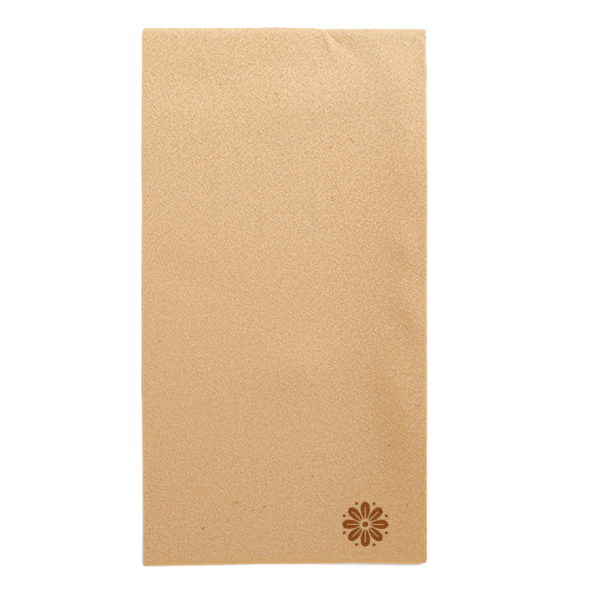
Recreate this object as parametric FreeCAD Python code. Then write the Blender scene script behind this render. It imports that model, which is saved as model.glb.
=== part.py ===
import FreeCAD, Part

import math
import os

# A paper napkin folded in eighths, made of one sheet.
#
# The sheet is folded twice along its length into a strip of four layers, and the strip is folded
# once across, which makes eight. The outer panels have a fold on both long sides, and the sheet's
# own cut sides lie tucked between the layers.
#
# Millimetres, +Z up. The origin is the middle of the face that the napkin lies on. +Y points from
# the crosswise fold to the open end, and the double fold is on the -X side.

# Folded size, over the outsides of the folds
folded_width = 108.0
folded_length = 203.0

# The soft bulky sheet, and the air that stays between two of its layers
sheet_thickness = 0.55
layer_gap = 0.14

# The sheet's nearer cut side stops this far short of the fold beside it
cut_side_setback = 1.0
# The lower half's open end stops this far short of the upper half's
lower_half_setback = 1.2

# The four layers of the strip, counted up from the outer panel
outer_layer, second_layer, third_layer, inner_layer = range(4)
strip_layers = 4

layer_pitch = sheet_thickness + layer_gap
strip_height = strip_layers * layer_pitch - layer_gap

# The double fold nests one turn of the sheet in another: its outer turn is as high as the strip
double_fold_x = -folded_width / 2 + strip_height / 2
# The single fold is one turn round the air between two layers
single_fold_x = folded_width / 2 - sheet_thickness - layer_gap / 2

# Both cut sides were level before the second fold. The inner layer goes round the outer turn of
# the double fold, which is the longer way, so its cut side ends up further back.
third_layer_cut_x = folded_width / 2 - cut_side_setback
inner_layer_cut_x = third_layer_cut_x - math.pi * layer_pitch

# The crosswise fold turns the whole strip round the air between its two inner layers
turn_radius = strip_height + layer_gap / 2
turn_y = -folded_length / 2 + turn_radius
upper_half_run = folded_length / 2 - turn_y
lower_half_run = upper_half_run - lower_half_setback

# The sheet's way through the strip, from one cut side to the other: x at each run's start and
# end, and the layer it makes
sheet_runs = (
    (inner_layer_cut_x, double_fold_x, inner_layer),
    (double_fold_x, single_fold_x, outer_layer),
    (single_fold_x, double_fold_x, second_layer),
    (double_fold_x, third_layer_cut_x, third_layer),
)


def middle_height(layer):
    """Height of the middle of a layer in the lower half."""
    return sheet_thickness / 2 + layer * layer_pitch


def section_point(x, z):
    """A point of the strip's section, at the place where the crosswise fold begins."""
    return FreeCAD.Vector(x, turn_y, z)


def half_turn(start, end, heading):
    """A fold's half circle from start up or down to end, bulging the way the sheet was heading."""
    nose = (start + end) / 2 + FreeCAD.Vector(heading * (end - start).Length / 2, 0, 0)
    return Part.Arc(start, nose, end).toShape()


def sheet_face_edges(face):
    """Section of one face of the sheet, as edges in order. The face is 1 or -1."""
    edges = []
    previous_end, previous_heading = None, 0
    for x_from, x_to, layer in sheet_runs:
        heading = 1 if x_to > x_from else -1
        z = middle_height(layer) + face * heading * sheet_thickness / 2
        start, end = section_point(x_from, z), section_point(x_to, z)
        if previous_end is not None:
            edges.append(half_turn(previous_end, start, previous_heading))
        edges.append(Part.LineSegment(start, end).toShape())
        previous_end, previous_heading = end, heading
    return edges


def cut_side(first_edge, second_edge, end):
    """The straight cut between the two faces' edges; end is 0 where they start, -1 where they end."""
    return Part.LineSegment(first_edge.Vertexes[end].Point, second_edge.Vertexes[end].Point).toShape()


def strip_section():
    """Section of the strip: both faces of the sheet, closed by its two cut sides."""
    face_a, face_b = sheet_face_edges(1), sheet_face_edges(-1)
    first_cut = cut_side(face_a[0], face_b[0], 0)
    last_cut = cut_side(face_a[-1], face_b[-1], -1)
    return Part.Face(Part.Wire([first_cut, *face_a, last_cut, *reversed(face_b)]))


def folded_sheet():
    """The napkin: the strip's lower half, its turn at the crosswise fold and its upper half."""
    section = strip_section()
    fold_centre = FreeCAD.Vector(0, turn_y, turn_radius)
    fold_axis = FreeCAD.Vector(-1, 0, 0)
    turned_section = section.copy()
    turned_section.rotate(fold_centre, fold_axis, 180)

    lower_half = section.extrude(FreeCAD.Vector(0, lower_half_run, 0))
    crosswise_fold = section.revolve(fold_centre, fold_axis, 180)
    upper_half = turned_section.extrude(FreeCAD.Vector(0, upper_half_run, 0))
    return lower_half.fuse([crosswise_fold, upper_half]).removeSplitter().Solids[0]


def opened_out_size():
    """Width and length of the sheet laid flat, measured along its middle."""
    straight = sum(abs(x_to - x_from) for x_from, x_to, _ in sheet_runs)
    layers = [layer for _, _, layer in sheet_runs]
    turns = sum(math.pi * layer_pitch / 2 * abs(b - a) for a, b in zip(layers, layers[1:]))
    crosswise_turn = math.pi * (turn_radius - sheet_thickness / 2)
    return straight + turns, lower_half_run + crosswise_turn + upper_half_run


napkin = folded_sheet()
os.makedirs("parts", exist_ok=True)
napkin.exportStep("parts/napkin.step")

box = napkin.optimalBoundingBox(False, False)
opened_width, opened_length = opened_out_size()
print(f"napkin: valid {napkin.isValid()}, {len(napkin.Faces)} faces, {napkin.Volume:.0f} mm3")
print(f"folded {box.XLength:.2f} x {box.YLength:.2f} x {box.ZLength:.2f} mm")
print(f"opened out {opened_width:.1f} x {opened_length:.1f} mm")
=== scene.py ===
import logging
import math
from dataclasses import dataclass, field, replace
from enum import Enum, IntEnum
from typing import Any, Iterable, Mapping, Union

import bpy
import numpy as np
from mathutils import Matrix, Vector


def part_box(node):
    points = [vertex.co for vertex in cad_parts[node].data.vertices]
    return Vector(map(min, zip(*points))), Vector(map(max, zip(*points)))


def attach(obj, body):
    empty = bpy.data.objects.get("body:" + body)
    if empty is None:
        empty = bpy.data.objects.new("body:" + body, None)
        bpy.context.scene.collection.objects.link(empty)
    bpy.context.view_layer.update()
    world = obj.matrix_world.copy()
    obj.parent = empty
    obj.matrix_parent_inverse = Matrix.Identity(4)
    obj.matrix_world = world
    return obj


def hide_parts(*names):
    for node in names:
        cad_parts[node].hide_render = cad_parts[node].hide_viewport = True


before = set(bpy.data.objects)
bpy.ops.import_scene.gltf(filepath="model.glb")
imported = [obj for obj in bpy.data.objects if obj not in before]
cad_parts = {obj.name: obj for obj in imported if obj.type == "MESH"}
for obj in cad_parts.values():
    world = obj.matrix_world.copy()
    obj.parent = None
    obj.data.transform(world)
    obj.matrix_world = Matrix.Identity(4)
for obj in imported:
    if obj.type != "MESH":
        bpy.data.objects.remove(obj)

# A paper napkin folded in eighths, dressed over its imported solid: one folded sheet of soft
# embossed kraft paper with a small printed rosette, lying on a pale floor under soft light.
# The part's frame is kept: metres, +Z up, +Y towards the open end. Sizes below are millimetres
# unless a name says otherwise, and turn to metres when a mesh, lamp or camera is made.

LOG = logging.getLogger("napkin")
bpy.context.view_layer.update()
MM = 0.001
SHEET_UV = "Sheet"
BAKE_UV = "OFBake"
TINY = 1e-9
ACROSS = (1.0, 0.0)
UP = (0.0, 1.0)

Number = Union[int, float]
Colour = tuple[float, float, float]
Pair = tuple[float, float]
Triple = tuple[float, float, float]
Socket = bpy.types.NodeSocket


def linear(red: int, green: int, blue: int) -> Colour:
    """Turns a colour as seen on screen into the linear one that a shader takes.

    Args:
        red: Screen red, 0 to 255.
        green: Screen green, 0 to 255.
        blue: Screen blue, 0 to 255.

    Returns:
        The linear red, green and blue, 0 to 1.
    """
    def one(level: int) -> float:
        """Linear value of one screen level."""
        share = level / 255
        return share / 12.92 if share <= 0.04045 else ((share + 0.055) / 1.055) ** 2.4

    return one(red), one(green), one(blue)


# ---- shader arithmetic ----


class MathOp(Enum):
    """Operations of the Math node that expressions use."""

    ADD = "ADD"
    SUBTRACT = "SUBTRACT"
    MULTIPLY = "MULTIPLY"
    DIVIDE = "DIVIDE"
    MAXIMUM = "MAXIMUM"
    ABSOLUTE = "ABSOLUTE"
    COSINE = "COSINE"
    SINE = "SINE"
    SQRT = "SQRT"
    ARCTAN2 = "ARCTAN2"
    PINGPONG = "PINGPONG"


class Value:
    """A number in a shader. Arithmetic on it adds Math nodes to its tree."""

    def __init__(self, bench: "NodeBench", socket: Socket) -> None:
        """Wraps a socket.

        Args:
            bench: The bench that adds nodes to the socket's tree.
            socket: An output that gives a number.
        """
        self.bench = bench
        self.socket = socket

    def __add__(self, other: "Term") -> "Value":
        """This plus other."""
        return self.bench.maths(MathOp.ADD, self, other)

    def __radd__(self, other: "Term") -> "Value":
        """Other plus this."""
        return self.bench.maths(MathOp.ADD, other, self)

    def __sub__(self, other: "Term") -> "Value":
        """This less other."""
        return self.bench.maths(MathOp.SUBTRACT, self, other)

    def __rsub__(self, other: "Term") -> "Value":
        """Other less this."""
        return self.bench.maths(MathOp.SUBTRACT, other, self)

    def __mul__(self, other: "Term") -> "Value":
        """This times other."""
        return self.bench.maths(MathOp.MULTIPLY, self, other)

    def __rmul__(self, other: "Term") -> "Value":
        """Other times this."""
        return self.bench.maths(MathOp.MULTIPLY, other, self)

    def __truediv__(self, other: "Term") -> "Value":
        """This over other."""
        return self.bench.maths(MathOp.DIVIDE, self, other)

    def __rtruediv__(self, other: "Term") -> "Value":
        """Other over this."""
        return self.bench.maths(MathOp.DIVIDE, other, self)

    def __abs__(self) -> "Value":
        """This without its sign."""
        return self.bench.maths(MathOp.ABSOLUTE, self)


Term = Union[Value, Number]


class NodeBench:
    """Adds nodes to one tree and links them.

    Attributes:
        octave_share: Strength of each octave of a noise against the one before.
        oval_edge: Where an oval mark begins and where it is full, as squared shares of its size.
    """

    octave_share = 0.55
    oval_edge = (1.3, 0.2)

    def __init__(self, tree: bpy.types.NodeTree) -> None:
        """Takes over a tree and empties it.

        Args:
            tree: The tree of a material or of the world.
        """
        self.tree = tree
        tree.nodes.clear()

    def add(
        self,
        kind: str,
        settings: Mapping[str, Any] | None = None,
        inputs: Mapping[Union[str, int], Any] | None = None,
    ) -> bpy.types.Node:
        """Adds any node.

        Args:
            kind: The node's type, without its leading ShaderNode.
            settings: The node's own settings, set before its sockets.
            inputs: A value, a Value or an output for each named or numbered input.

        Returns:
            The new node.
        """
        node = self.tree.nodes.new("ShaderNode" + kind)
        for name, setting in (settings or {}).items():
            setattr(node, name, setting)
        for key, term in (inputs or {}).items():
            target = node.inputs[key]
            if isinstance(term, Value):
                term = term.socket
            if isinstance(term, Socket):
                self.tree.links.new(term, target)
            elif isinstance(term, tuple) and len(term) == 3 and target.type == "RGBA":
                target.default_value = (*term, 1.0)
            else:
                target.default_value = term
        return node

    def maths(self, operation: MathOp, *terms: Term) -> Value:
        """Adds a Math node and gives its result."""
        node = self.add("Math", {"operation": operation.value}, dict(enumerate(terms)))
        return Value(self, node.outputs[0])

    def vector(self, operation: str, *terms: Any, scale: Term | None = None) -> Socket:
        """Adds a Vector Math node.

        Args:
            operation: The node's operation.
            terms: Its vectors, in order.
            scale: The factor of a SCALE.

        Returns:
            The vector that it gives.
        """
        inputs: dict[Union[str, int], Any] = dict(enumerate(terms))
        if scale is not None:
            inputs["Scale"] = scale
        return self.add("VectorMath", {"operation": operation}, inputs).outputs["Vector"]

    def along(self, place: Socket, direction: Pair) -> Value:
        """How far a place is along a direction of the sheet, times the direction's length."""
        terms = {0: place, 1: (*direction, 0.0)}
        node = self.add("VectorMath", {"operation": "DOT_PRODUCT"}, terms)
        return Value(self, node.outputs["Value"])

    def noise(
        self, place: Socket, per_mm: float, detail: float = 2.0, shift: float = 0.0
    ) -> bpy.types.Node:
        """Adds a Noise Texture over the sheet.

        Args:
            place: Place on the sheet, in millimetres.
            per_mm: Features per millimetre.
            detail: Octaves of finer noise on top.
            shift: Level of the noise's third dimension, so that two noises differ.

        Returns:
            The node, with its outputs Fac and Color.
        """
        moved = self.vector("ADD", place, (0.0, 0.0, shift / per_mm))
        return self.add(
            "TexNoise",
            {"noise_dimensions": "3D"},
            {"Vector": moved, "Scale": per_mm, "Detail": detail, "Roughness": self.octave_share},
        )

    def noise_value(
        self, place: Socket, per_mm: float, detail: float = 2.0, shift: float = 0.0
    ) -> Value:
        """The same noise as a number around 0.5."""
        return Value(self, self.noise(place, per_mm, detail, shift).outputs["Fac"])

    def stray(self, place: Socket, per_mm: float, shift: float, reach: float) -> Socket:
        """A random offset that varies over the sheet, by up to half of reach either way."""
        noise = self.noise(place, per_mm, 1.0, shift).outputs["Color"]
        return self.vector("SCALE", self.vector("SUBTRACT", noise, (0.5,) * 3), scale=reach)

    def streaks(
        self,
        place: Socket,
        direction: Pair,
        along_per_mm: float,
        across_per_mm: float,
        shift: float,
    ) -> Value:
        """Noise drawn out along one direction of the sheet.

        Args:
            place: Place on the sheet, in millimetres.
            direction: Unit direction in which the streaks run.
            along_per_mm: Features per millimetre along it.
            across_per_mm: Features per millimetre across it.
            shift: Level of the noise's third dimension.

        Returns:
            A number around 0.5.
        """
        lengthwise = self.along(place, (direction[0] * along_per_mm, direction[1] * along_per_mm))
        crosswise = self.along(place, (-direction[1] * across_per_mm, direction[0] * across_per_mm))
        drawn = self.add("CombineXYZ", None, {0: lengthwise, 1: crosswise, 2: shift})
        return self.noise_value(drawn.outputs[0], 1.0, 1.0)

    def oval(self, place: Socket, mark: "Mark") -> Value:
        """Adds the nodes of an oval mark.

        Args:
            place: Place on the sheet, in millimetres.
            mark: The mark.

        Returns:
            1 in its middle, fading to 0 at its rim.
        """
        turn = math.radians(mark.angle)
        cosine, sine = math.cos(turn), math.sin(turn)
        middle_along = mark.x * cosine + mark.y * sine
        middle_aside = mark.y * cosine - mark.x * sine
        along = (self.along(place, (cosine, sine)) - middle_along) / mark.half_length
        aside = (self.along(place, (-sine, cosine)) - middle_aside) / mark.half_width
        return self.ramp(along * along + aside * aside, *self.oval_edge)

    def ramp(self, term: Value, low: float, high: float) -> Value:
        """Smooth step of a value from 0 at low to 1 at high, or the other way when low is higher.

        Args:
            term: The value.
            low: Where the result is 0.
            high: Where the result is 1.

        Returns:
            The step, 0 to 1.
        """
        rising = high > low
        node = self.add(
            "MapRange",
            {"interpolation_type": "SMOOTHSTEP", "clamp": True},
            {
                "Value": term,
                "From Min": min(low, high),
                "From Max": max(low, high),
                "To Min": 0.0 if rising else 1.0,
                "To Max": 1.0 if rising else 0.0,
            },
        )
        return Value(self, node.outputs["Result"])

    def blend(self, factor: Term, first: Any, second: Any) -> Socket:
        """Mixes two colours.

        Args:
            factor: Share of the second colour, 0 to 1.
            first: A colour or an output that gives one.
            second: A colour or an output that gives one.

        Returns:
            The mixed colour.
        """
        settings = {"data_type": "RGBA", "blend_type": "MIX", "clamp_factor": True}
        node = self.add("Mix", settings, {0: factor, 6: first, 7: second})
        return node.outputs[2]


# ---- the folded sheet ----


class Layer(IntEnum):
    """The strip's four layers, counted from the napkin's outside towards its middle."""

    OUTER = 0
    SECOND = 1
    THIRD = 2
    INNER = 3


class Face(IntEnum):
    """The sheet's two faces, as the side of the sheet's middle that they are on."""

    INSIDE = 1
    OUTSIDE = -1


NAPKIN_LAYERS = 2 * len(Layer)


@dataclass(frozen=True)
class FoldedStrip:
    """How the sheet runs through the folded napkin, and where each point of it comes to lie.

    Attributes:
        width: Folded width over the folds.
        length: Folded length from the crosswise fold to the open end.
        height: Height of all eight layers.
        gap: Air between two layers.
        cut_side_setback: How far the nearer cut side stops short of the fold beside it.
        lower_half_setback: How far the lower half's open end stops short of the upper half's.
    """

    width: float
    length: float
    height: float
    gap: float = 0.14
    cut_side_setback: float = 1.0
    lower_half_setback: float = 1.2

    @property
    def thickness(self) -> float:
        """Thickness of the sheet."""
        return (self.height - (NAPKIN_LAYERS - 1) * self.gap) / NAPKIN_LAYERS

    @property
    def pitch(self) -> float:
        """Height from one layer to the next."""
        return self.thickness + self.gap

    @property
    def turn_radius(self) -> float:
        """Outer radius of the crosswise fold."""
        return self.height / 2

    @property
    def turn_y(self) -> float:
        """Where the crosswise fold begins."""
        return -self.length / 2 + self.turn_radius

    @property
    def double_fold_x(self) -> float:
        """Where the rounds of the double fold begin."""
        return -self.width / 2 + (len(Layer) * self.pitch - self.gap) / 2

    @property
    def single_fold_x(self) -> float:
        """Where the round of the single fold begins."""
        return self.width / 2 - self.thickness - self.gap / 2

    @property
    def upper_run(self) -> float:
        """Length of the upper half's straight part."""
        return self.length / 2 - self.turn_y

    @property
    def lower_run(self) -> float:
        """Length of the lower half's straight part."""
        return self.upper_run - self.lower_half_setback

    @property
    def turn_run(self) -> float:
        """Length of the crosswise fold along the outer layer's middle."""
        return math.pi * (self.turn_radius - self.thickness / 2)

    @property
    def third_cut_x(self) -> float:
        """Where the third layer's cut side is."""
        return self.width / 2 - self.cut_side_setback

    @property
    def inner_cut_x(self) -> float:
        """Where the inner layer's cut side is, drawn back by its longer way round the fold."""
        return self.third_cut_x - math.pi * self.pitch

    def opened_out(self) -> Pair:
        """Width and length of the sheet laid flat."""
        runs = (
            self.inner_cut_x - self.double_fold_x
            + 2 * (self.single_fold_x - self.double_fold_x)
            + self.third_cut_x - self.double_fold_x
        )
        # The outer round of the double fold spans three pitches, and the other two rounds one each.
        turns = math.pi * self.pitch / 2 * (3 + 1 + 1)
        return runs + turns, self.lower_run + self.turn_run + self.upper_run


@dataclass(frozen=True)
class Spacing:
    """How far apart stations lie along a run of the sheet.

    Attributes:
        step: Spacing in the middle.
        edge_step: Spacing near both ends.
        band: How far from each end that reaches.
    """

    step: float
    edge_step: float
    band: float

    def between(self, start: float, end: float) -> np.ndarray:
        """Lays stations along one run.

        Args:
            start: First place.
            end: Last place.

        Returns:
            The places in order, with start and end among them.
        """
        direction = 1 if end > start else -1
        span = abs(end - start)
        edge_count = max(1, round(self.band / self.edge_step))
        middle_count = max(1, round((span - 2 * self.band) / self.step))
        places = np.concatenate((
            np.linspace(0, self.band, edge_count + 1)[:-1],
            np.linspace(self.band, span - self.band, middle_count + 1)[:-1],
            np.linspace(span - self.band, span, edge_count + 1),
        ))
        return start + direction * places


def eased(share: np.ndarray) -> np.ndarray:
    """Smooth step of a share, from 0 at 0 and below to 1 at 1 and above."""
    share = np.clip(share, 0, 1)
    return share * share * (3 - 2 * share)


def halved(places: np.ndarray, low: float, high: float) -> np.ndarray:
    """Adds the middle of each step between two places.

    Args:
        places: Places in rising order.
        low: Where the finer steps begin.
        high: Where they end.

    Returns:
        The places with those between them.
    """
    middles = (places[1:] + places[:-1]) / 2
    return np.sort(np.concatenate((places, middles[(middles > low) & (middles < high)])))


@dataclass
class SectionLine:
    """The strip's section as stations along the sheet's middle.

    Attributes:
        strip: The fold's sizes.
        fine: Spacing of stations on the outer panel.
        coarse: Spacing of stations on the hidden layers.
        crease_span: Where the outer panel's stations are closest, for the crease.
        round_steps: Steps in the double fold's outer round, the single fold's round and the
            double fold's inner round.
        x: Each station's place across.
        z: Its height in the lower half.
        normal_x: The way that the sheet's inside faces there, across.
        normal_z: The same, up.
        sheet_u: Its place across the opened sheet, the same as x on the outer panel.
        on_outside: If it shows from outside.
    """

    strip: FoldedStrip
    fine: Spacing
    coarse: Spacing
    crease_span: Pair
    round_steps: tuple[int, int, int] = (16, 10, 8)
    x: np.ndarray = field(init=False)
    z: np.ndarray = field(init=False)
    normal_x: np.ndarray = field(init=False)
    normal_z: np.ndarray = field(init=False)
    sheet_u: np.ndarray = field(init=False)
    on_outside: np.ndarray = field(init=False)

    def __post_init__(self) -> None:
        """Walks the sheet from its inner cut side to its other cut side."""
        strip = self.strip
        left, right = strip.double_fold_x, strip.single_fold_x
        outer_double, single, inner_double = self.round_steps
        panel = halved(self.fine.between(left, right), *self.crease_span)
        rows = (
            self._run(self.coarse.between(strip.inner_cut_x, left), Layer.INNER),
            self._turn(left, Layer.INNER, Layer.OUTER, -1, outer_double),
            self._run(panel, Layer.OUTER),
            self._turn(right, Layer.OUTER, Layer.SECOND, 1, single),
            self._run(self.coarse.between(right, left), Layer.SECOND),
            self._turn(left, Layer.SECOND, Layer.THIRD, -1, inner_double),
            self._run(self.coarse.between(left, strip.third_cut_x), Layer.THIRD),
        )
        path = np.concatenate(rows)
        keep = np.concatenate(([True], np.hypot(*np.diff(path[:, :2], axis=0).T) > TINY))
        path = path[keep]
        self.x, self.z, self.normal_x, self.normal_z, outside = path.T
        self.on_outside = outside > 0.5
        steps = np.hypot(np.diff(self.x), np.diff(self.z))
        walked = np.concatenate(([0.0], np.cumsum(steps)))
        flat_outer = self.on_outside & (np.abs(self.normal_x) < TINY)
        first = int(np.argmax(flat_outer))
        self.sheet_u = walked - walked[first] + self.x[first]

    def _height(self, layer: Layer) -> float:
        """Height of a layer's middle in the lower half."""
        return self.strip.thickness / 2 + layer * self.strip.pitch

    def _run(self, places: np.ndarray, layer: Layer) -> np.ndarray:
        """Stations of a flat run.

        Args:
            places: Their places across.
            layer: The layer that they are on.

        Returns:
            One row each: x, z, the inside's normal, and if it shows from outside.
        """
        heading = 1.0 if places[-1] > places[0] else -1.0
        ones = np.ones_like(places)
        shows = ones * (layer is Layer.OUTER)
        return np.stack((places, ones * self._height(layer), 0 * ones, ones * heading, shows), 1)

    def _turn(self, x: float, start: Layer, end: Layer, heading: int, count: int) -> np.ndarray:
        """Stations of a fold's half circle, in the same rows.

        Args:
            x: Where the round begins.
            start: Layer that it comes from.
            end: Layer that it goes to.
            heading: 1 where it bulges to +X, -1 to -X.
            count: Steps in the half circle.

        Returns:
            The rows.
        """
        angle = np.linspace(0, math.pi, count + 1)
        low, high = self._height(start), self._height(end)
        centre, arm = (low + high) / 2, (low - high) / 2
        along_x, along_z = heading * np.cos(angle), -math.copysign(1, arm) * np.sin(angle)
        shows = np.ones_like(angle) * (Layer.OUTER in (start, end))
        places = x + heading * abs(arm) * np.sin(angle)
        return np.stack((places, centre + arm * np.cos(angle), -along_z, along_x, shows), 1)


@dataclass(frozen=True)
class SideWander:
    """How far one side of the napkin stands out from a straight line.

    Attributes:
        places: Places along the side.
        outward: How far the side stands out there.
    """

    places: tuple[float, ...]
    outward: tuple[float, ...]

    def at(self, place: np.ndarray) -> np.ndarray:
        """Eases the side from one measure to the next.

        Args:
            place: Places along the side.

        Returns:
            How far the side stands out at each.
        """
        places, outward = np.array(self.places), np.array(self.outward)
        index = np.clip(np.searchsorted(places, place) - 1, 0, len(places) - 2)
        share = eased((place - places[index]) / (places[index + 1] - places[index]))
        return outward[index] * (1 - share) + outward[index + 1] * share


@dataclass(frozen=True)
class Swell:
    """A soft rise or dip of the upper half.

    Attributes:
        x: Its middle across the napkin.
        y: Its middle along the napkin.
        long_radius: Its reach along its own direction.
        short_radius: Its reach across that.
        angle: Its direction in degrees from +X.
        height: Its height, less than 0 for a dip.
    """

    x: float
    y: float
    long_radius: float
    short_radius: float
    angle: float
    height: float

    def at(self, x: np.ndarray, y: np.ndarray) -> np.ndarray:
        """Works out the swell.

        Args:
            x: Places across the napkin.
            y: The same places along it.

        Returns:
            The swell's height at each.
        """
        turn = math.radians(self.angle)
        along = (x - self.x) * math.cos(turn) + (y - self.y) * math.sin(turn)
        across = -(x - self.x) * math.sin(turn) + (y - self.y) * math.cos(turn)
        away = (along / self.long_radius) ** 2 + (across / self.short_radius) ** 2
        return self.height * np.exp(-away)


@dataclass(frozen=True)
class SoftCorner:
    """How far handling pulled one corner in.

    Attributes:
        side_x: 1 at the single fold, -1 at the double fold.
        side_y: 1 at the open end, -1 at the crosswise fold.
        pull: How far it is pulled in, less than 0 where it stands out.
        reach: How far from the corner that is felt.
        top_only: 1 where the lowest layer stays, 0 where all layers move alike.
    """

    side_x: int
    side_y: int
    pull: float
    reach: float
    top_only: float = 0.0


@dataclass(frozen=True)
class HandledShape:
    """The wander of the sides, the soft corners and the relief of a handled napkin.

    Attributes:
        left: Side of the double fold, from the crosswise fold up.
        right: Side of the single fold, from the crosswise fold up.
        open_end: Open end, from the double fold across.
        folded_end: Crosswise fold, from the double fold across.
        swells: Soft rises and dips.
        corners: The four corners.
        side_reach: How far in from a side its wander is felt.
        end_reach: How far in from an end its wander is felt.
        end_droop: How far the open end's edge bends down.
        droop_reach: How far from the edge that bend begins.
        tuck: How far the lower half's sides lie inside the upper half's.
        tuck_reach: How far in from a side that is felt.
        tuck_start: How far from the crosswise fold it is all there.
        loose_reach: How far from the open end its layers have slipped on one another.
        slip: How far the lowest of them slipped.
        slip_across: How much more or less across the napkin, and how wide a radian of that is.
        slip_between: How much more or less from layer to layer, how wide a radian of that is,
            and how many radians lie between the floor and the top.
        pressed_x: Where the crosswise fold sits most squarely on the floor.
        pressed_reach: How far across that reaches to either side.
        pressed_most: How squarely it sits there, 0 for a round fold.
        pressed_least: The same away from there, less than 0 for an undercut fold.
    """

    left: SideWander = SideWander(
        (-101, -88, -65, -51, -42, -33, -24, 1, 19, 37, 51, 71, 101),
        (-0.45, -0.45, -0.38, -0.19, -0.11, 0.15, 0.04, 0.11, 0.04, -0.08, 0.15, 0.0, -0.11),
    )
    right: SideWander = SideWander(
        (-101, -81, -60, -27, -20, 2, 40, 64, 78, 85, 91, 101),
        (0.02, 0.02, -0.04, 0.06, 0.0, -0.02, 0.12, -0.02, -0.14, 0.0, -0.26, -0.26),
    )
    open_end: SideWander = SideWander(
        (-54, -50.7, -43.6, -34, -15.8, -3.7, 6.9, 17.5, 25, 32.6, 41.7, 47.8, 52.3, 54),
        (
            -0.03, 0.14, 0.10, 0.10, 0.16, 0.42, 0.13,
            -0.22, -0.23, -0.25, -0.28, -0.18, -0.34, -0.36,
        ),
    )
    folded_end: SideWander = SideWander(
        (-54, -50.7, -38.5, -27.9, -20.4, -15.8, -8.3, 20, 25, 31, 40, 46.3, 50.9, 52, 54),
        (
            0.45, 0.51, 0.3, 0.13, 0.0, -0.15, -0.3,
            -0.38, -0.55, -0.48, -0.36, -0.2, -0.15, -0.42, -0.45,
        ),
    )
    swells: tuple[Swell, ...] = (
        Swell(54, -10, 85, 16, 90, 0.35),
        Swell(45.6, 60, 34, 7.5, 97, 1.2),
        Swell(45.2, 19, 9, 5.0, 100, 1.1),
        Swell(47.6, -5, 12, 5.5, 106, 1.25),
        Swell(44.6, -43, 27, 9.0, 101, 1.35),
        Swell(56.0, -47, 25, 7.0, 100, 0.8),
        Swell(38, 88, 13, 6, 122, 0.6),
        Swell(13.0, 73.5, 21, 8.5, 14, 0.9),
        Swell(-33, 80.5, 16, 8, 5, -0.65),
        Swell(-6, 88, 8, 5, 10, -0.35),
        Swell(6, -27, 13, 10, 25, 1.0),
        Swell(-38, 8, 16, 7, -20, -0.3),
        Swell(-10, -104, 60, 6, 0, -0.15),
        Swell(21.2, 42, 10, 1.6, 100, 0.22),
        Swell(12, 36, 10, 1.8, 103, 0.2),
        Swell(-25, 45, 28, 2.0, 90, 0.17),
        Swell(-7.6, 33, 22, 1.7, 91, 0.14),
        Swell(22.8, 96.0, 8.5, 3.2, 134, -0.62),
        Swell(19.6, 97.3, 7.0, 0.9, 137, -0.24),
        Swell(16.9, 95.4, 7.5, 1.2, 113, 0.36),
        Swell(53.0, 98.2, 1.8, 0.6, 142, -0.35),
        Swell(52.2, -100.7, 1.8, 0.6, 41, -0.4),
    )
    corners: tuple[SoftCorner, ...] = (
        SoftCorner(-1, -1, -0.30, 1.8),
        SoftCorner(1, -1, 0.30, 1.5, top_only=1.0),
        SoftCorner(-1, 1, 0.15, 1.3),
        SoftCorner(1, 1, -0.12, 1.0),
    )
    side_reach: float = 30.0
    end_reach: float = 25.0
    end_droop: float = 0.40
    droop_reach: float = 3.4
    tuck: float = 1.1
    tuck_reach: float = 20.0
    tuck_start: float = 12.0
    loose_reach: float = 40.0
    slip: float = 0.35
    slip_across: Pair = (0.2, 17.0)
    slip_between: Triple = (0.12, 23.0, 7.0)
    pressed_x: float = 37.0
    pressed_reach: float = 21.0
    pressed_most: float = 0.7
    pressed_least: float = -0.5

    def pressed(self, x: np.ndarray) -> np.ndarray:
        """How squarely the lower side of the crosswise fold sits on the floor, up to 1."""
        near = np.exp(-(((x - self.pressed_x) / self.pressed_reach) ** 4))
        return self.pressed_least + (self.pressed_most - self.pressed_least) * near

    def shaped(self, points: np.ndarray, strip: FoldedStrip) -> np.ndarray:
        """Moves the points of a true folded sheet to where handling left them.

        Args:
            points: Rows of x, y and z.
            strip: The fold's sizes.

        Returns:
            The moved points. Each layer keeps its place among the others.
        """
        x, y, z = points.T
        half_width, half_length = strip.width / 2, strip.length / 2
        level = z / strip.height
        from_left, from_right = x + half_width, half_width - x
        from_fold, from_open = y + half_length, half_length - y

        def near(distance: np.ndarray, reach: float) -> np.ndarray:
            """1 at a side, easing to 0 at reach from it."""
            return eased(1 - distance / reach)

        shift_x = (
            self.right.at(y) * near(from_right, self.side_reach)
            - self.left.at(y) * near(from_left, self.side_reach)
        )
        shift_y = (
            self.open_end.at(x) * near(from_open, self.end_reach)
            - self.folded_end.at(x) * near(from_fold, self.end_reach)
        )
        tucked = self.tuck * np.clip(1 - 2 * level, 0, 1) * (1 - near(from_fold, self.tuck_start))
        shift_x += tucked * (near(from_left, self.tuck_reach) - near(from_right, self.tuck_reach))
        amount, radian = self.slip_across
        slip = self.slip + amount * np.sin(x / radian + 1)
        amount, radian, turns = self.slip_between
        slip += amount * np.sin(turns * level + x / radian)
        shift_y -= near(from_open, self.loose_reach) * (1 - level) * slip

        for corner in self.corners:
            away = np.hypot(x - corner.side_x * half_width, y - corner.side_y * half_length)
            felt = np.exp(-((away / corner.reach) ** 2)) * (1 - corner.top_only * (1 - level))
            shift_x -= corner.side_x * corner.pull * felt
            shift_y -= corner.side_y * corner.pull * felt

        relief = sum(swell.at(x, y) for swell in self.swells)
        relief -= self.end_droop * np.clip(1 - from_open / self.droop_reach, 0, 1) ** 2
        lifted = z * (1 + relief / strip.height)
        return np.stack((x + shift_x, y + shift_y, lifted), 1)


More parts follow.
